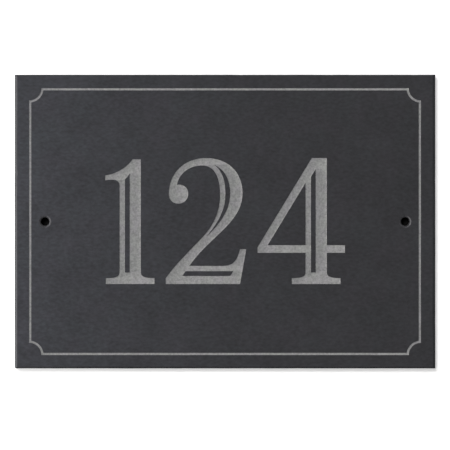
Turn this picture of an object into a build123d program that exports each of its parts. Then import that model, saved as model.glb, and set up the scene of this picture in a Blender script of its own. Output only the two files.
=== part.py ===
from build123d import *
import os

# House number plaque: one slab of slate, engraved on its front and drilled for two wall screws.
# The origin is the centre of the back face, which lies on the wall. The front faces -Y and +Z is up.

# Slab, in millimetres, with each front arris rubbed off by hand to its own width
plaque_width = 290.0
plaque_height = 202.5
plaque_thickness = 10.0
left_arris = 1.8
right_arris = 1.9
bottom_arris = 1.3
top_arris = 0.9
back_arris = 0.5
corner_ease = 0.3

# Screw holes, with the front rim cut back at 45 degrees
screw_spacing = 248.2
screw_hole_radius = 2.9
screw_rim = 0.8

# Engraving, with the border measured to the middle of its line
engraving_depth = 0.4
border_width = 268.4
border_height = 182.3
border_line = 1.5
notch_radius = 9.1
notch_set_out = 0.7
numeral_height = 86.0

# Strokes of the numerals, in hundredths of their height: each thick stroke is a thin line, a bare inline and
# a bold line, side by side
stem = 17.0
thin_line = 4.3
inline = 3.8
hairline = 6.2
serif = 4.8
serif_reach = 11.0
serif_bracket = 5.0
numeral_top = 100.0
round_top = 101.0
numeral_space = 9.0

front = Plane.XZ.offset(plaque_thickness)


def front_edge(blank, axis, end):
    """The edge of the front that comes first or last along the axis."""
    return blank.faces().sort_by(Axis.Y)[0].edges().sort_by(axis)[end]


def slab():
    """The sawn slab with its arrises taken off and its corners eased."""
    blank = extrude(Plane.XZ * Rectangle(plaque_width, plaque_height), plaque_thickness)
    blank = chamfer(front_edge(blank, Axis.X, 0), left_arris)
    blank = chamfer(front_edge(blank, Axis.X, -1), right_arris)
    blank = chamfer(front_edge(blank, Axis.Z, 0), bottom_arris)
    blank = chamfer(front_edge(blank, Axis.Z, -1), top_arris)
    blank = chamfer(blank.faces().sort_by(Axis.Y)[-1].edges(), back_arris)
    corners = blank.edges().filter_by(lambda edge: edge.length < plaque_thickness)
    return fillet(corners, corner_ease)


def screw_holes():
    """Two through holes on the middle height."""
    hole = CounterSinkHole(
        screw_hole_radius,
        screw_hole_radius + screw_rim,
        depth=plaque_thickness,
        counter_sink_angle=90,
    )
    return front * GridLocations(screw_spacing, 0, 2, 1) * hole


def border_outline(grow):
    """The border's shape, moved outwards by grow: a rectangle with a concave notch at each corner."""
    frame = Rectangle(border_width + 2 * grow, border_height + 2 * grow)
    corners = GridLocations(border_width + 2 * notch_set_out, border_height + 2 * notch_set_out, 2, 2)
    return frame - corners * Circle(notch_radius - grow)


def outline(start, *runs):
    """A face drawn round from start: a run is one point if it is straight and three if it is a curve."""
    edges = []
    here = start
    for run in runs:
        if isinstance(run[0], tuple):
            edges.append(Bezier(here, *run))
            here = run[-1]
        else:
            edges.append(Line(here, run))
            here = run
    if here != start:
        edges.append(Line(here, start))
    return make_face(edges)


def foot(left, right):
    """The runs round a stem's bracketed foot, from its right side to its left."""
    rise = serif + serif_bracket
    return (
        (right, rise),
        ((right, serif + 1), (right + 3, serif), (right + serif_reach, serif)),
        (right + serif_reach, 0),
        (left - serif_reach, 0),
        (left - serif_reach, serif),
        ((left - 3, serif), (left, serif + 1), (left, rise)),
    )


def numeral_one():
    left = serif_reach + 0.5
    right = left + stem
    body = outline(
        (0, 83),
        (0, 87),
        ((9, 88.5), (17, 93), (22, numeral_top)),
        (right, numeral_top),
        *foot(left, right),
        (left, 79),
        ((left, 84), (6, 84.2), (0, 83)),
    )
    near = left + thin_line
    far = near + inline
    bare = outline(
        (near, serif + 4.5),
        (far, serif + 4.5),
        (far, 88.5),
        ((far - 1, 87), (near + 1.4, 84.8), (near, 84)),
    )
    return body - bare


def numeral_two():
    outer = 61.5
    inner = outer - stem - 1
    base = 14.6
    body = outline(
        (2.5, 72),
        ((2.5, 89), (15, round_top), (32, round_top)),
        ((50, round_top), (outer, 89.5), (outer, 73)),
        ((outer, 58.5), (52, 49), (41, 38.5)),
        ((33, 31), (25.5, 24), (19, base)),
        (46, base),
        ((55, base), (57.5, 20), (59.5, 28)),
        (64.5, 28),
        (59.5, 0),
        (0, 0),
        (0, serif),
        ((9, 17), (20, 27.5), (29.5, 37.5)),
        ((38.5, 47), (inner, 58), (inner, 71.5)),
        ((inner, 86), (39, 95), (29, 95)),
        ((19, 95), (10.5, 88.5), (9, 79.5)),
        ((13.5, 80.5), (18, 77.5), (18, 72.3)),
        ((18, 67.5), (14.4, 64.4), (10.2, 64.4)),
        ((5.2, 64.4), (2.5, 68), (2.5, 72)),
    )
    near = inner + thin_line
    far = near + inline
    bowl = outline(
        (38.2, 95.6),
        ((44.5, 92), (near, 84), (near, 72)),
        ((near, 60), (42.5, 49.5), (32.5, 38)),
        ((44.5, 49), (far, 60), (far, 72.5)),
        ((far, 84), (47, 92.5), (38.2, 95.6)),
    )
    high = base - thin_line
    low = high - inline
    bar = outline((13.2, low), (51.5, low), ((52.6, 7.6), (53.2, 8.8), (54, high)), (16, high))
    return body - bowl - bar


def numeral_four():
    left = 38.5
    right = left + stem
    apex = right - 12
    bar_low = 25.0
    bar_high = bar_low + hairline
    slant_foot = bar_low + 4.4
    slope = (round_top - slant_foot) / apex
    body = outline(
        (apex, round_top),
        (right, round_top),
        (right, bar_high),
        (70, bar_high),
        (70, bar_low),
        (right, bar_low),
        *foot(left, right),
        (left, bar_low),
        (0, bar_low),
        (0, slant_foot),
    )
    corner = 8.2
    counter = outline((corner, bar_high), (left, bar_high), (left, bar_high + slope * (left - corner)))
    near = left + thin_line
    far = near + inline
    bare = outline((near, serif + 4.5), (far, serif + 4.5), (far, 92), (near, 92 - slope * inline))
    return body - counter - bare


def number():
    """The numerals side by side at their real size, centred on the origin."""
    row = Sketch()
    place = 0.0
    for numeral in (numeral_one(), numeral_two(), numeral_four()):
        row += Pos(place, 0) * numeral
        place += numeral.bounding_box().max.X + numeral_space
    width = place - numeral_space
    return scale(Pos(-width / 2, -numeral_top / 2) * row, by=numeral_height / numeral_top)


border = border_outline(border_line / 2) - border_outline(-border_line / 2)
engraving = extrude(front * (border + number()), -engraving_depth)

plaque = slab() - screw_holes() - engraving
plaque.label = "slate_plaque"

os.makedirs("parts", exist_ok=True)
export_step(plaque, "parts/slate_plaque.step")
print("solids", len(plaque.solids()), "volume", round(plaque.volume), "box", plaque.bounding_box())
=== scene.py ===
import math

import bmesh
import bpy
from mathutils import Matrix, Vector, noise


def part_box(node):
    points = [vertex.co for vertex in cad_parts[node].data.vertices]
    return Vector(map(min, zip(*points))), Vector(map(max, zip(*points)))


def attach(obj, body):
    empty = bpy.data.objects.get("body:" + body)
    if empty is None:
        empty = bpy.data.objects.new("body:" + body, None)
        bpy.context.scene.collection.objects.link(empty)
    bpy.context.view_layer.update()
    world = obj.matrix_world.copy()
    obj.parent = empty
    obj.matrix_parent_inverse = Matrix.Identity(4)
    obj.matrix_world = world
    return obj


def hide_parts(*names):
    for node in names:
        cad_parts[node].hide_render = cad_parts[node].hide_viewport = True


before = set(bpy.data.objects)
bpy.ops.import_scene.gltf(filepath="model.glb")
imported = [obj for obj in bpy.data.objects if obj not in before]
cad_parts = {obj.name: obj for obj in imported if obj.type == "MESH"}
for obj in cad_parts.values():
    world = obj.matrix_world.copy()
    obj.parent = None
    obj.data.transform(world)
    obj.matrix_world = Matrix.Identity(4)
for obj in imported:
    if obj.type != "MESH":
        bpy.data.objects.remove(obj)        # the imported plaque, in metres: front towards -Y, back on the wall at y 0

mm = 0.001
samePlace = 0.001 * mm        # closer than this counts as the same place
quarterTurn = math.radians(90)
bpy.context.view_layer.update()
low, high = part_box("slate_plaque")
centre = (low + high) / 2
size = high - low
print("frame loaded, plaque", [round(side / mm, 1) for side in size], "mm")


# small helpers

def deselectAll():
    if bpy.context.object and bpy.context.object.mode != "OBJECT":
        bpy.ops.object.mode_set(mode="OBJECT")
    bpy.ops.object.select_all(action="DESELECT")


def makeActive(piece):
    deselectAll()
    piece.select_set(True)
    bpy.context.view_layer.objects.active = piece


def pick(piece, kind, test):        # in edit mode: selects the edges or faces that pass the test
    bpy.ops.mesh.select_mode(type=kind)
    bpy.ops.mesh.select_all(action="DESELECT")
    shape = bmesh.from_edit_mesh(piece.data)
    for part in {"EDGE": shape.edges, "FACE": shape.faces}[kind]:
        if test(part):
            part.select_set(True)
    bmesh.update_edit_mesh(piece.data)


def applyModifier(piece, kind, **settings):
    modifier = piece.modifiers.new(kind.lower(), kind)
    for name, value in settings.items():
        setattr(modifier, name, value)
    makeActive(piece)
    bpy.ops.object.modifier_apply(modifier=modifier.name)


def cut(piece, tool):        # the cut faces take the tool's finish
    applyModifier(
        piece, "BOOLEAN", operation="DIFFERENCE", object=tool, solver="EXACT", material_mode="TRANSFER")
    bpy.data.objects.remove(tool)


def hexColour(text):        # sRGB hex to linear
    parts = [int(text[i:i + 2], 16) / 255 for i in (1, 3, 5)]
    return [c / 12.92 if c <= 0.04045 else ((c + 0.055) / 1.055) ** 2.4 for c in parts] + [1.0]


def addNode(tree, kind, inputs=None, **settings):
    node = tree.nodes.new(kind)
    for name, value in settings.items():
        setattr(node, name, value)
    for name, value in (inputs or {}).items():
        if isinstance(value, bpy.types.NodeSocket):
            tree.links.new(value, node.inputs[name])
        else:
            node.inputs[name].default_value = value
    return node


def newMaterial(name):
    material = bpy.data.materials.new(name)
    material.use_nodes = True
    material.node_tree.nodes.clear()
    return material, material.node_tree


# materials: one stone, with the five finishes that its faces were given
# each spread is the part of a noise that runs from one colour to the other

def blendColours(tree, level, spread, first, last):
    share = addNode(tree, "ShaderNodeMapRange", {
        "Value": level, "From Min": spread[0], "From Max": spread[1]})
    blend = addNode(tree, "ShaderNodeMix", {
        "Factor": share.outputs["Result"], "A": first, "B": last}, data_type="RGBA")
    return blend.outputs["Result"]


def finishStone(tree, finish, colour, height=None, roughness=None):
    surface = {"Base Color": colour, "Specular IOR Level": finish["specular"]}
    surface["Roughness"] = finish["roughness"] if roughness is None else roughness
    if height is not None:
        bump = addNode(tree, "ShaderNodeBump", {
            "Height": height, "Strength": finish["bump"], "Distance": finish["bumpDepth"]})
        surface["Normal"] = bump.outputs["Normal"]
    shader = addNode(tree, "ShaderNodeBsdfPrincipled", surface)
    addNode(tree, "ShaderNodeOutputMaterial", {"Surface": shader.outputs["BSDF"]})


honedSlate = {
    "dark": "#232325",
    "heather": "#39383c",        # the paler grains lean to heather or to green-grey in patches
    "greenGrey": "#38393c",
    "patch": 15 * mm,
    "patchSpread": (0.35, 0.65),
    "paintedSheenLeftEnd": (1.3, 1.345, 1.4, 1.0),        # painted sheen: the colour is painted paler and bluer towards the left end, in place of light from the left
    "paintedSheenFrom": 105 * mm,        # from this far right of its middle, slowly at first
    "paintedSheenPower": 1.7,
    "cloud": 24 * mm,
    "grain": 1.75 * mm,        # mineral grain is finer, drawn coarse enough to show
    "grainLength": 3.1 * mm,        # and it runs along the slab
    "grainShare": 0.7,        # of the tone, and the clouding has the rest
    "spread": (0.3, 0.7),
    "roughness": (0.52, 0.7),
    "specular": 0.1,
    "bump": 0.25,
    "bumpDepth": 0.2 * mm,
}


# slate rubbed smooth: a blue-black ground, faint clouding, fine grain and a soft sheen
def makeHonedSlate():
    material, tree = newMaterial("honedSlate")
    grainWide, grainLong = honedSlate["grain"], honedSlate["grainLength"]
    place = addNode(tree, "ShaderNodeTexCoord").outputs["Object"]
    cloud = addNode(tree, "ShaderNodeTexNoise", {
        "Vector": place, "Scale": 1 / honedSlate["cloud"], "Detail": 4.0, "Roughness": 0.6})
    alongGrain = addNode(tree, "ShaderNodeMapping", {
        "Vector": place, "Scale": (1 / grainLong, 1 / grainWide, 1 / grainWide)})
    grain = addNode(tree, "ShaderNodeTexNoise", {
        "Vector": alongGrain.outputs["Vector"], "Scale": 1.0, "Detail": 4.0, "Roughness": 0.55})
    tone = addNode(tree, "ShaderNodeMix", {
        "Factor": honedSlate["grainShare"], "A": cloud.outputs["Fac"], "B": grain.outputs["Fac"]})
    patch = addNode(tree, "ShaderNodeTexNoise", {
        "Vector": place, "Scale": 1 / honedSlate["patch"], "Detail": 2.0, "Roughness": 0.5})
    pale = blendColours(
        tree, patch.outputs["Fac"], honedSlate["patchSpread"],
        hexColour(honedSlate["heather"]), hexColour(honedSlate["greenGrey"]))
    colour = blendColours(
        tree, tone.outputs["Result"], honedSlate["spread"], hexColour(honedSlate["dark"]), pale)
    # painted sheen: the colour is multiplied paler and bluer towards the left end, standing in for light from the left
    across = addNode(tree, "ShaderNodeSeparateXYZ", {"Vector": place}).outputs["X"]
    paintedSheenLeftwards = addNode(tree, "ShaderNodeMapRange", {
        "Value": across, "From Min": centre.x + honedSlate["paintedSheenFrom"], "From Max": low.x})
    drift = addNode(tree, "ShaderNodeMath", {
        0: paintedSheenLeftwards.outputs["Result"], 1: honedSlate["paintedSheenPower"]}, operation="POWER")
    withPaintedLight = addNode(tree, "ShaderNodeMix", {
        "Factor": drift.outputs["Value"], "A": colour, "B": honedSlate["paintedSheenLeftEnd"]},
        data_type="RGBA", blend_type="MULTIPLY")
    sheen = addNode(tree, "ShaderNodeMapRange", {
        "Value": grain.outputs["Fac"],
        "From Min": honedSlate["spread"][0], "From Max": honedSlate["spread"][1],
        "To Min": honedSlate["roughness"][0], "To Max": honedSlate["roughness"][1]})
    finishStone(
        tree, honedSlate, withPaintedLight.outputs["Result"],
        height=grain.outputs["Fac"], roughness=sheen.outputs["Result"])
    return material


sawnSlate = {
    "dark": "#292a2b",
    "light": "#4a4b4e",
    "layer": 0.9 * mm,        # cleavage layers, which lie parallel to the front
    "sawLine": 1.4 * mm,        # saw marks, which cross the layers
    "drift": 70 * mm,        # how far both run before they change
    "sawShare": 0.4,        # of the tone, and the layers have the rest
    "spread": (0.3, 0.7),
    "roughness": 0.72,
    "specular": 0.0,        # too rough to shine, even along the light
    "bump": 0.5,
    "bumpDepth": 0.3 * mm,
}


# slate as the saw left it: paler and duller, with thin layers along the edge and fine saw lines
def makeSawnSlate():
    material, tree = newMaterial("sawnSlate")
    layer, sawLine, drift = sawnSlate["layer"], sawnSlate["sawLine"], sawnSlate["drift"]
    place = addNode(tree, "ShaderNodeTexCoord").outputs["Object"]
    alongLayers = addNode(tree, "ShaderNodeMapping", {
        "Vector": place, "Scale": (1 / drift, 1 / layer, 1 / drift)})
    layers = addNode(tree, "ShaderNodeTexNoise", {
        "Vector": alongLayers.outputs["Vector"], "Scale": 1.0, "Detail": 3.0, "Roughness": 0.55})
    acrossLayers = addNode(tree, "ShaderNodeMapping", {
        "Vector": place, "Scale": (1 / sawLine, 1 / drift, 1 / sawLine)})
    sawLines = addNode(tree, "ShaderNodeTexNoise", {
        "Vector": acrossLayers.outputs["Vector"], "Scale": 1.0, "Detail": 2.0, "Roughness": 0.5})
    tone = addNode(tree, "ShaderNodeMix", {
        "Factor": sawnSlate["sawShare"], "A": layers.outputs["Fac"], "B": sawLines.outputs["Fac"]})
    colour = blendColours(
        tree, tone.outputs["Result"], sawnSlate["spread"],
        hexColour(sawnSlate["dark"]), hexColour(sawnSlate["light"]))
    finishStone(tree, sawnSlate, colour, height=tone.outputs["Result"])
    return material


groundSlate = {
    "dark": "#303032",
    "light": "#434347",
    "groove": 2.2 * mm,
    "run": 160 * mm,        # how far a groove runs before it changes
    "grooveShare": 0.45,        # of the tone, and the clouding has the rest
    "cloud": 30 * mm,
    "spread": (0.3, 0.7),
    "roughness": 0.7,
    "specular": 0.1,
    "bump": 0.35,
    "bumpDepth": 0.3 * mm,
}


# the back, ground to thickness: long faint grooves from the grinding wheel over a cloudy grey
def makeGroundSlate():
    material, tree = newMaterial("groundSlate")
    groove, run = groundSlate["groove"], groundSlate["run"]
    place = addNode(tree, "ShaderNodeTexCoord").outputs["Object"]
    alongRun = addNode(tree, "ShaderNodeMapping", {
        "Vector": place, "Scale": (1 / run, 1 / run, 1 / groove)})
    grooves = addNode(tree, "ShaderNodeTexNoise", {
        "Vector": alongRun.outputs["Vector"], "Scale": 1.0, "Detail": 2.0, "Roughness": 0.5})
    cloud = addNode(tree, "ShaderNodeTexNoise", {
        "Vector": place, "Scale": 1 / groundSlate["cloud"], "Detail": 6.0, "Roughness": 0.65})
    tone = addNode(tree, "ShaderNodeMix", {
        "Factor": groundSlate["grooveShare"], "A": cloud.outputs["Fac"], "B": grooves.outputs["Fac"]})
    colour = blendColours(
        tree, tone.outputs["Result"], groundSlate["spread"],
        hexColour(groundSlate["dark"]), hexColour(groundSlate["light"]))
    finishStone(tree, groundSlate, colour, height=grooves.outputs["Fac"])
    return material


blastedSlate = {
    "dark": "#797979",
    "heather": "#a6a4a7",        # the stone's own tints still show faintly in the crushed grains
    "olive": "#a5a6a4",
    "patch": 8 * mm,
    "patchSpread": (0.4, 0.6),
    "drift": 0.1,        # painted light: the colour is painted a little paler towards the right end, where the lamps light it less
    "grit": 1.3 * mm,        # blasting grit is about a quarter of this, drawn coarse enough to show
    "spread": (0.25, 0.75),
    "roughness": 0.85,
    "specular": 0.1,
    "bump": 0.35,
    "bumpDepth": 0.2 * mm,
}


# slate cut by blasted grit: crushed to a pale grey, quite matt, with a fine speckle
def makeBlastedSlate():
    material, tree = newMaterial("blastedSlate")
    place = addNode(tree, "ShaderNodeTexCoord").outputs["Object"]
    grit = addNode(tree, "ShaderNodeTexNoise", {
        "Vector": place, "Scale": 1 / blastedSlate["grit"], "Detail": 5.0, "Roughness": 0.6})
    patch = addNode(tree, "ShaderNodeTexNoise", {
        "Vector": place, "Scale": 1 / blastedSlate["patch"], "Detail": 2.0, "Roughness": 0.5})
    pale = blendColours(
        tree, patch.outputs["Fac"], blastedSlate["patchSpread"],
        hexColour(blastedSlate["heather"]), hexColour(blastedSlate["olive"]))
    colour = blendColours(
        tree, grit.outputs["Fac"], blastedSlate["spread"], hexColour(blastedSlate["dark"]), pale)
    # painted light: the value rises towards the right end, to make up for the light falling off there
    across = addNode(tree, "ShaderNodeSeparateXYZ", {"Vector": place}).outputs["X"]
    drift = addNode(tree, "ShaderNodeMapRange", {
        "Value": across, "From Min": low.x, "From Max": high.x,
        "To Min": 1 - blastedSlate["drift"], "To Max": 1 + blastedSlate["drift"]})
    withPaintedLight = addNode(tree, "ShaderNodeHueSaturation", {
        "Value": drift.outputs["Result"], "Color": colour})
    finishStone(tree, blastedSlate, withPaintedLight.outputs["Color"], height=grit.outputs["Fac"])
    return material


drilledSlate = {
    "dark": "#303032",
    "light": "#545457",
    "speck": 0.8 * mm,
    "spread": (0.3, 0.7),
    "roughness": 0.8,
    "specular": 0.1,
}


# slate worn through by a drill: bruised to a mid grey with a fine speckle
def makeDrilledSlate():
    material, tree = newMaterial("drilledSlate")
    place = addNode(tree, "ShaderNodeTexCoord").outputs["Object"]
    speck = addNode(tree, "ShaderNodeTexNoise", {
        "Vector": place, "Scale": 1 / drilledSlate["speck"], "Detail": 3.0, "Roughness": 0.6})
    colour = blendColours(
        tree, speck.outputs["Fac"], drilledSlate["spread"],
        hexColour(drilledSlate["dark"]), hexColour(drilledSlate["light"]))
    finishStone(tree, drilledSlate, colour)
    return material


honed, sawn, ground = makeHonedSlate(), makeSawnSlate(), makeGroundSlate()
blasted, drilled = makeBlastedSlate(), makeDrilledSlate()
print("materials made")


# slab

slab = {
    "leftArris": 1.8 * mm,        # each front arris is rubbed off to its own width
    "rightArris": 1.9 * mm,
    "bottomArris": 1.3 * mm,
    "topArris": 0.9 * mm,
    "backArris": 0.5 * mm,
    "cornerEase": 0.3 * mm,
    "wornCorner": 0.9 * mm,        # the bottom left corner has lost its point
    "widest": 2.0 * mm,        # the bevel's full width, which the edges take a share of
    "arrisSteps": 4,
    "arrisProfile": 0.32,        # a little rounder than a flat chamfer, 0.25
    "faceStep": 2.0 * mm,
    "sideStep": 1.5 * mm,
    "longEdge": 0.6,        # an edge longer than this share of the slab is divided
    "smoothAngle": 20,
}
# faces are told apart by the y of their normal, from -1 at the front to 1 at the back
frontTurn = -0.98
sideTurn = (-0.02, 0.1)


def liesAt(edge, axis, value):
    return all(abs(vert.co[axis] - value) < samePlace for vert in edge.verts)


def arrisWidth(edge):
    if liesAt(edge, 1, high.y):
        return slab["backArris"]
    if not liesAt(edge, 1, low.y):
        worn = liesAt(edge, 0, low.x) and liesAt(edge, 2, low.z)
        return slab["wornCorner"] if worn else slab["cornerEase"]
    if liesAt(edge, 0, low.x):
        return slab["leftArris"]
    if liesAt(edge, 0, high.x):
        return slab["rightArris"]
    return slab["topArris"] if liesAt(edge, 2, high.z) else slab["bottomArris"]


def runsAlong(edge, axis):
    start, end = edge.verts
    return abs(start.co[axis] - end.co[axis]) > slab["longEdge"] * size[axis]


def buildSlab():
    deselectAll()
    bpy.ops.mesh.primitive_cube_add(size=1, location=centre, scale=size)
    piece = bpy.context.object
    piece.name = "slatePlaque"
    bpy.ops.object.transform_apply(location=True, rotation=True, scale=True)
    bpy.ops.object.mode_set(mode="EDIT")
    shape = bmesh.from_edit_mesh(piece.data)
    share = shape.edges.layers.float.new("bevel_weight_edge")
    for edge in shape.edges:
        edge[share] = arrisWidth(edge) / slab["widest"]
    bmesh.update_edit_mesh(piece.data)
    applyModifier(piece, "BEVEL", limit_method="WEIGHT", width=slab["widest"],
                  segments=slab["arrisSteps"], profile=slab["arrisProfile"])
    for axis, step in ((0, slab["faceStep"]), (2, slab["faceStep"]), (1, slab["sideStep"])):
        bpy.ops.object.mode_set(mode="EDIT")
        pick(piece, "EDGE", lambda edge: runsAlong(edge, axis))
        bpy.ops.mesh.subdivide(number_cuts=round(size[axis] / step) - 1)
        bpy.ops.object.mode_set(mode="OBJECT")
    return piece


wear = {
    "rub": 0.12 * mm,        # the hand-rubbed arrises waver by this much
    "rubLength": 14 * mm,
    "nick": 0.5 * mm,        # and here and there have a small nick
    "nickLength": 6 * mm,
    "nickFrom": 0.5,        # only the peaks of the noise above this are nicks
    "saw": 0.05 * mm,        # the saw left shallow waves on the sides
    "sawLength": 9 * mm,
}


def waver(spot, length):        # from 0 to 1, changing over about this length
    return 0.5 + 0.5 * noise.noise(spot / length)


def wearSlab(piece):        # vertices move inwards only, so the slab keeps its size
    for vert in piece.data.vertices:
        facing, spot = vert.normal.copy(), vert.co.copy()
        if sideTurn[0] < facing.y < sideTurn[1]:
            vert.co = spot - facing * wear["saw"] * waver(spot, wear["sawLength"])
        elif frontTurn < facing.y <= sideTurn[0]:
            rub = wear["rub"] * waver(spot, wear["rubLength"])
            peak = noise.noise(spot / wear["nickLength"]) - wear["nickFrom"]
            nick = wear["nick"] * (max(0.0, peak) / (1 - wear["nickFrom"]))
            if spot.y - low.y < samePlace:        # where an arris meets the front, the front stays flat
                facing.y = 0
                facing.normalize()
            vert.co = spot - facing * (rub + nick)


def finishFaces(piece):
    finishes = [honed, sawn, ground]
    for material in finishes:
        piece.data.materials.append(material)
    for face in piece.data.polygons:
        if face.normal.y > sideTurn[1]:
            face.material_index = finishes.index(ground)
        elif face.normal.y > frontTurn:
            face.material_index = finishes.index(sawn)


# screw holes

screwHole = {
    "spacing": 248.2 * mm,
    "radius": 2.9 * mm,
    "rim": 1.3 * mm,        # how far the front rim is eased
    "rimSteps": 6,
    "sides": 64,
    "overshoot": 1.0 * mm,        # the drill stands out past both faces
}
holePlaces = [centre.x + side * screwHole["spacing"] / 2 for side in (-1, 1)]


def cutScrewHole(piece, x):
    radius, rim, overshoot = screwHole["radius"], screwHole["rim"], screwHole["overshoot"]
    behind, inner = high.y + overshoot, low.y + rim
    deselectAll()
    bpy.ops.mesh.primitive_cylinder_add(
        vertices=screwHole["sides"], radius=radius, depth=behind - inner,
        location=(x, (behind + inner) / 2, centre.z), rotation=(quarterTurn, 0, 0))
    drill = bpy.context.object
    bpy.ops.object.transform_apply(location=True, rotation=True, scale=True)
    bpy.ops.object.mode_set(mode="EDIT")
    pick(drill, "FACE", lambda face: face.normal.y < frontTurn)
    wide, reach = radius, inner
    for step in range(1, screwHole["rimSteps"] + 1):        # the rim is halfway from a chamfer to a round
        share = step / screwHole["rimSteps"]
        turn = quarterTurn * share
        nextWide = radius + rim * (share + 1 - math.cos(turn)) / 2
        nextReach = inner - rim * (share + math.sin(turn)) / 2
        bpy.ops.mesh.extrude_region_move(TRANSFORM_OT_translate={"value": (0, nextReach - reach, 0)})
        bpy.ops.transform.resize(
            value=(nextWide / wide, 1, nextWide / wide), center_override=(x, nextReach, centre.z))
        wide, reach = nextWide, nextReach
    bpy.ops.mesh.extrude_region_move(TRANSFORM_OT_translate={"value": (0, -overshoot, 0)})
    bpy.ops.object.mode_set(mode="OBJECT")
    drill.data.materials.append(drilled)
    cut(piece, drill)


# engraving, drawn in millimetres on the front

engraving = {
    "depth": 0.4 * mm,
    "borderWidth": 268.4,        # to the middle of the line
    "borderHeight": 182.3,
    "borderLine": 1.5,
    "notchRadius": 9.1,
    "notchSetOut": 0.7,        # the notches are drawn round points this far outside the corners
    "numeralHeight": 86.0,
    "smoothness": 16,
    "reach": 1.0 * mm,        # of the cutter, to each side of the drawing
}

stroke = {        # hundredths of the numeral's height
    "stem": 17.0,
    "bowl": 18.0,
    "thinLine": 4.3,        # a thick stroke is a thin line, a bare inline and a bold line, side by side
    "inline": 3.8,
    "inlineFoot": 4.5,        # the inline starts this far above a serif
    "hairline": 6.2,
    "serif": 4.8,
    "serifReach": 11.0,
    "serifBracket": 5.0,
    "bracketRise": 1.0,        # the handles of the bracket's curve, above the serif and beside the stem
    "bracketRun": 3.0,
    "top": 100.0,
    "roundTop": 101.0,
    "space": 9.0,
}


def notchRun(middle, start, end):        # a quarter-round notch as one curved run
    first, last = Vector(start) - middle, Vector(end) - middle
    turn = first.angle(last)
    handle = 4 / 3 * math.tan(turn / 4) / math.sin(turn)        # brings the curve closest to an arc
    leave = Vector(start) + (last - first * math.cos(turn)) * handle
    arrive = Vector(end) + (first - last * math.cos(turn)) * handle
    return tuple(leave), tuple(arrive), tuple(end)


def borderPath(grow):
    halfWide, halfHigh = engraving["borderWidth"] / 2, engraving["borderHeight"] / 2
    out, radius = engraving["notchSetOut"], engraving["notchRadius"] - grow
    inset = math.sqrt(radius ** 2 - (out - grow) ** 2) - out
    path = []
    for sideX, sideZ in ((1, 1), (1, -1), (-1, -1), (-1, 1)):
        middle = Vector((sideX * (halfWide + out), sideZ * (halfHigh + out)))
        level = (sideX * (halfWide - inset), sideZ * (halfHigh + grow))
        upright = (sideX * (halfWide + grow), sideZ * (halfHigh - inset))
        start, end = (level, upright) if sideX == sideZ else (upright, level)
        path += [start, notchRun(middle, start, end)]
    return path


def footRuns(left, right):        # round a stem's bracketed foot, from its right side to its left
    serif, reach = stroke["serif"], stroke["serifReach"]
    up, along = serif + stroke["bracketRise"], stroke["bracketRun"]
    rise = serif + stroke["serifBracket"]
    return [
        (right, rise),
        ((right, up), (right + along, serif), (right + reach, serif)),
        (right + reach, 0),
        (left - reach, 0),
        (left - reach, serif),
        ((left - along, serif), (left, up), (left, rise)),
    ]


def numeralOne():
    top, foot = stroke["top"], stroke["serif"] + stroke["inlineFoot"]
    flagReach = 0.5        # the flag stands this much further out than the foot
    left = stroke["serifReach"] + flagReach
    right = left + stroke["stem"]
    near = left + stroke["thinLine"]
    far = near + stroke["inline"]
    body = [
        (0, 83), (0, 87), ((9, 88.5), (17, 93), (22, top)), (right, top), *footRuns(left, right),
        (left, 79), ((left, 84), (6, 84.2), (0, 83))]
    bare = [
        (near, foot), (far, foot), (far, 88.5), ((far - 1, 87), (near + 1.4, 84.8), (near, 84))]
    return [body, bare], right + stroke["serifReach"]


def numeralTwo():
    top, serif = stroke["roundTop"], stroke["serif"]
    outer, base, tip = 61.5, 14.6, 64.5
    inner = outer - stroke["bowl"]
    near = inner + stroke["thinLine"]
    far = near + stroke["inline"]
    upper = base - stroke["thinLine"]
    lower = upper - stroke["inline"]
    body = [
        (2.5, 72), ((2.5, 89), (15, top), (32, top)), ((50, top), (outer, 89.5), (outer, 73)),
        ((outer, 58.5), (52, 49), (41, 38.5)), ((33, 31), (25.5, 24), (19, base)), (46, base),
        ((55, base), (57.5, 20), (59.5, 28)), (tip, 28), (59.5, 0), (0, 0), (0, serif),
        ((9, 17), (20, 27.5), (29.5, 37.5)), ((38.5, 47), (inner, 58), (inner, 71.5)),
        ((inner, 86), (39, 95), (29, 95)), ((19, 95), (10.5, 88.5), (9, 79.5)),
        ((13.5, 80.5), (18, 77.5), (18, 72.3)), ((18, 67.5), (14.4, 64.4), (10.2, 64.4)),
        ((5.2, 64.4), (2.5, 68), (2.5, 72))]
    bowl = [
        (38.2, 95.6), ((44.5, 92), (near, 84), (near, 72)), ((near, 60), (42.5, 49.5), (32.5, 38)),
        ((44.5, 49), (far, 60), (far, 72.5)), ((far, 84), (47, 92.5), (38.2, 95.6))]
    bar = [(13.2, lower), (51.5, lower), ((52.6, 7.6), (53.2, 8.8), (54, upper)), (16, upper)]
    return [body, bowl, bar], tip


def numeralFour():
    top, foot = stroke["roundTop"], stroke["serif"] + stroke["inlineFoot"]
    left, reach, apexWide = 38.5, 70.0, 12.0
    barLow, slantRise, counterLeft, inlineTop = 25.0, 4.4, 8.2, 92.0
    right = left + stroke["stem"]
    apex, barHigh, slantFoot = right - apexWide, barLow + stroke["hairline"], barLow + slantRise
    slope = (top - slantFoot) / apex
    near = left + stroke["thinLine"]
    far = near + stroke["inline"]
    body = [
        (apex, top), (right, top), (right, barHigh), (reach, barHigh), (reach, barLow), (right, barLow),
        *footRuns(left, right), (left, barLow), (0, barLow), (0, slantFoot)]
    counter = [
        (counterLeft, barHigh), (left, barHigh), (left, barHigh + slope * (left - counterLeft))]
    bare = [(near, foot), (far, foot), (far, inlineTop), (near, inlineTop - slope * stroke["inline"])]
    return [body, counter, bare], reach


def isPoint(run):
    return isinstance(run[0], (int, float))


def runEnd(run):
    return run if isPoint(run) else run[-1]


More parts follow.
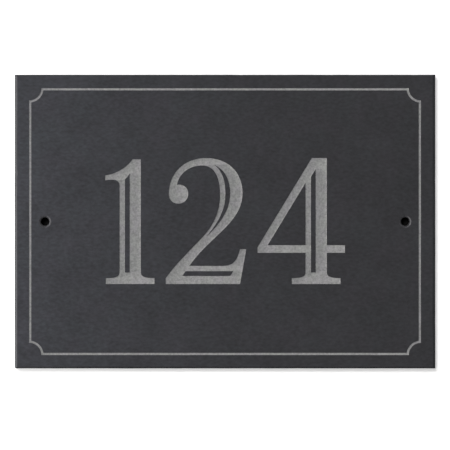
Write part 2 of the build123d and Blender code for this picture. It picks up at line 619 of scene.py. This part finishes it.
# a closed outline: a run of one point is straight, and one of three is a curve
def drawPath(curve, path, scale=1.0, shift=(0, 0)):
    def spot(point):
        return (scale * (point[0] + shift[0]) * mm, scale * (point[1] + shift[1]) * mm, 0)

    runs = path[1:]
    if runEnd(runs[-1]) != path[0]:
        runs.append(path[0])
    spline = curve.splines.new("BEZIER")
    spline.bezier_points.add(len(runs) - 1)
    spline.use_cyclic_u = True
    spline.resolution_u = engraving["smoothness"]
    knots = spline.bezier_points
    for knot, run in zip(knots, [path[0]] + runs):
        knot.co = spot(runEnd(run))
    for index, run in enumerate(runs):
        start, end = knots[index], knots[(index + 1) % len(runs)]
        if isPoint(run):
            start.handle_right_type = end.handle_left_type = "VECTOR"
        else:
            start.handle_right_type = end.handle_left_type = "FREE"
            start.handle_right, end.handle_left = spot(run[0]), spot(run[1])


def drawNumber(curve):        # the numerals side by side, in the middle of the plaque
    numerals = [numeralOne(), numeralTwo(), numeralFour()]
    wide = sum(width for paths, width in numerals) + stroke["space"] * (len(numerals) - 1)
    scale = engraving["numeralHeight"] / stroke["top"]
    place = -wide / 2
    for paths, width in numerals:
        for path in paths:
            drawPath(curve, path, scale, (place, -stroke["top"] / 2))
        place += width + stroke["space"]


def cutEngraving(piece):
    curve = bpy.data.curves.new("engraving", "CURVE")
    curve.dimensions, curve.fill_mode = "2D", "BOTH"
    curve.extrude = engraving["reach"]
    for grow in (engraving["borderLine"] / 2, -engraving["borderLine"] / 2):
        drawPath(curve, borderPath(grow))
    drawNumber(curve)
    tool = bpy.data.objects.new("engraving", curve)
    bpy.context.scene.collection.objects.link(tool)
    tool.rotation_euler = (quarterTurn, 0, 0)
    tool.location = (centre.x, low.y + engraving["depth"] - engraving["reach"], centre.z)
    makeActive(tool)
    bpy.ops.object.convert(target="MESH")
    bpy.ops.object.transform_apply(location=True, rotation=True, scale=True)
    bpy.ops.object.mode_set(mode="EDIT")
    bpy.ops.mesh.select_all(action="SELECT")
    bpy.ops.mesh.remove_doubles(threshold=samePlace)
    bpy.ops.mesh.normals_make_consistent(inside=False)
    bpy.ops.object.mode_set(mode="OBJECT")
    tool.data.materials.clear()
    tool.data.materials.append(blasted)
    cut(piece, tool)


plaque = buildSlab()
wearSlab(plaque)
finishFaces(plaque)
print("slab", len(plaque.data.polygons), "faces")
for holeX in holePlaces:
    cutScrewHole(plaque, holeX)
print("screw holes cut,", len(plaque.data.polygons), "faces")
cutEngraving(plaque)
print("engraved,", len(plaque.data.polygons), "faces")
makeActive(plaque)
bpy.ops.object.shade_smooth_by_angle(angle=math.radians(slab["smoothAngle"]))
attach(plaque, "root")
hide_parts("slate_plaque")


# stage: a white wall behind the plaque, a pale floor below, and dark discs of painted shade inside the screw holes

room = {
    "wide": 4.0,
    "wallGap": 0.2 * mm,
    "openingInset": 0.2 * mm,        # the wall is open behind the plaque, so that its back has light too
    "floorDrop": 0.12,
    "wallWhite": ("#e6e6e6", 0.48),        # the paint, and the glow that makes it white to the camera
    "floorWhite": ("#616161", 0.9),        # a floor this grey throws less light up at the plaque
    # painted shade: the colour of the dark discs inside the screw holes
    "holeShade": "#131313",
    "holeShadeIn": 1.0 * mm,
    "holeShadeWide": 1.02,        # of the hole, so that no light comes round it
}


def backgroundRay(tree):        # 1 where the camera, a reflection or clear glass sees the stage
    path = addNode(tree, "ShaderNodeLightPath").outputs
    seen = addNode(tree, "ShaderNodeMath", {
        0: path["Is Camera Ray"], 1: path["Is Glossy Ray"]}, operation="ADD")
    seenAtAll = addNode(tree, "ShaderNodeMath", {
        0: seen.outputs["Value"], 1: path["Is Transmission Ray"]}, operation="ADD", use_clamp=True)
    return seenAtAll.outputs["Value"]


def oneSided(tree, front):        # seen from behind, the stage is clear, and it blocks no light
    clear = addNode(tree, "ShaderNodeBsdfTransparent").outputs["BSDF"]
    behind = addNode(tree, "ShaderNodeNewGeometry").outputs["Backfacing"]
    shadow = addNode(tree, "ShaderNodeLightPath").outputs["Is Shadow Ray"]
    unseen = addNode(tree, "ShaderNodeMath", {0: behind, 1: shadow}, operation="MAXIMUM")
    surface = addNode(tree, "ShaderNodeMixShader", {0: unseen.outputs["Value"], 1: front, 2: clear})
    addNode(tree, "ShaderNodeOutputMaterial", {"Surface": surface.outputs["Shader"]})


def makeStageWhite(name):
    white, glowLevel = room[name]
    material, tree = newMaterial(name)
    paint = addNode(tree, "ShaderNodeBsdfDiffuse", {"Color": hexColour(white)})
    level = addNode(tree, "ShaderNodeMath", {0: backgroundRay(tree), 1: glowLevel}, operation="MULTIPLY")
    glow = addNode(tree, "ShaderNodeEmission", {"Strength": level.outputs["Value"]})
    lit = addNode(tree, "ShaderNodeAddShader", {0: paint.outputs["BSDF"], 1: glow.outputs["Emission"]})
    oneSided(tree, lit.outputs["Shader"])
    return material


def makeHoleShade():        # a dark disc of painted shade inside a screw hole, where the wall beyond would lie in shade
    material, tree = newMaterial("holeShade")
    dark = addNode(tree, "ShaderNodeBsdfDiffuse", {"Color": hexColour(room["holeShade"])})
    addNode(tree, "ShaderNodeOutputMaterial", {"Surface": dark.outputs["BSDF"]})
    return material


def buildWall(material):
    opening = (size.x - 2 * room["openingInset"], size.z - 2 * room["openingInset"])
    wide = room["wide"]
    deselectAll()
    bpy.ops.mesh.primitive_plane_add(size=1)
    wall = bpy.context.object
    wall.name = "wall"
    wall.scale = (wide, wide - (opening[0] - opening[1]), 1)        # so that an even inset leaves the opening
    wall.rotation_euler = (quarterTurn, 0, 0)
    wall.location = (centre.x, high.y + room["wallGap"], centre.z)
    bpy.ops.object.transform_apply(location=True, rotation=True, scale=True)
    bpy.ops.object.mode_set(mode="EDIT")
    bpy.ops.mesh.select_all(action="SELECT")
    bpy.ops.mesh.inset(thickness=(wide - opening[0]) / 2)
    bpy.ops.mesh.delete(type="FACE")        # the inset leaves its inner face selected
    bpy.ops.object.mode_set(mode="OBJECT")
    wall.data.materials.append(material)


def buildFloor(material):
    deselectAll()
    bpy.ops.mesh.primitive_plane_add(size=room["wide"], location=(0, 0, low.z - room["floorDrop"]))
    floor = bpy.context.object
    floor.name = "floor"
    floor.data.materials.append(material)


def buildHoleShade(x, material):
    deselectAll()
    bpy.ops.mesh.primitive_circle_add(
        vertices=screwHole["sides"], radius=room["holeShadeWide"] * screwHole["radius"], fill_type="NGON",
        location=(x, high.y - room["holeShadeIn"], centre.z), rotation=(quarterTurn, 0, 0))
    shade = bpy.context.object
    shade.name = "holeShade"
    shade.data.materials.append(material)


buildWall(makeStageWhite("wallWhite"))
buildFloor(makeStageWhite("floorWhite"))
holeShade = makeHoleShade()
for holeX in holePlaces:
    buildHoleShade(holeX, holeShade)
print("stage built")


# light

suns = {        # where the light comes from, in degrees round from the front and up
    "windowFront": {"round": 12, "up": 17, "softness": 15, "strength": 2.04, "colour": "#ffffff"},
    "windowRake": {"round": 86.8, "up": 0, "softness": 4, "strength": 8.9, "colour": "#fffbf6"},
    "ceiling": {"round": 0, "up": 90, "softness": 5, "strength": 0.6, "colour": "#ffffff"},
    "backLeft": {"round": 150, "up": 10, "softness": 30, "strength": 1.2, "colour": "#ffffff"},
    "backRight": {"round": -140, "up": 10, "softness": 20, "strength": 2.4, "colour": "#ffffff"},
}
strip = {"place": (-0.21, -0.12, 0.0), "wide": 0.06, "tall": 0.4, "power": 0.13, "colour": "#ffffff"}
sky = {"colour": "#ffffff", "strength": 0.136, "seen": 1.0}        # white where it is seen


def buildSun(name, sun):
    deselectAll()
    bpy.ops.object.light_add(type="SUN", rotation=(
        math.radians(90 - sun["up"]), 0, -math.radians(sun["round"])))
    light = bpy.context.object
    light.name = name
    light.data.angle = math.radians(sun["softness"])
    light.data.energy = sun["strength"]
    light.data.color = hexColour(sun["colour"])[:3]


def buildStrip():        # a narrow lamp beside the plaque's left end
    deselectAll()
    bpy.ops.object.light_add(type="AREA", location=strip["place"])
    light = bpy.context.object
    light.name = "stripLeft"
    light.data.shape = "RECTANGLE"
    light.data.size, light.data.size_y = strip["wide"], strip["tall"]
    light.data.energy = strip["power"]
    light.data.color = hexColour(strip["colour"])[:3]
    light.rotation_euler = (centre - light.location).to_track_quat("-Z", "Y").to_euler()
    light.visible_camera = False


def buildSky():
    world = bpy.data.worlds.new("studio")
    world.use_nodes = True
    tree = world.node_tree
    tree.nodes.clear()
    strength = addNode(tree, "ShaderNodeMapRange", {
        "Value": backgroundRay(tree), "To Min": sky["strength"], "To Max": sky["seen"]})
    background = addNode(tree, "ShaderNodeBackground", {
        "Color": hexColour(sky["colour"]), "Strength": strength.outputs["Result"]})
    addNode(tree, "ShaderNodeOutputWorld", {"Surface": background.outputs["Background"]})
    bpy.context.scene.world = world


for sunName, sunSettings in suns.items():
    buildSun(sunName, sunSettings)
buildStrip()
buildSky()


# camera, square on to the plaque

photo = {
    "pixels": 450,
    "plaquePixels": 420.7,
    "centrePixels": (225.0, 221.6),
    "lens": 300.0,
    "sensor": 36.0,
}


def buildCamera():
    pixel = size.x / photo["plaquePixels"]
    away = pixel * photo["pixels"] * photo["lens"] / photo["sensor"]
    deselectAll()
    bpy.ops.object.camera_add()
    camera = bpy.context.object
    camera.name = "photoCamera"
    camera.data.lens = photo["lens"]
    camera.data.sensor_width = photo["sensor"]
    camera.location = (
        centre.x + (photo["pixels"] / 2 - photo["centrePixels"][0]) * pixel,
        low.y + slab["rightArris"] - away,        # the outline is widest just behind the arrises
        centre.z + (photo["centrePixels"][1] - photo["pixels"] / 2) * pixel)
    camera.rotation_euler = (quarterTurn, 0, 0)
    bpy.context.scene.camera = camera


buildCamera()
bpy.context.scene.view_settings.view_transform = "Standard"
print("light and camera set")
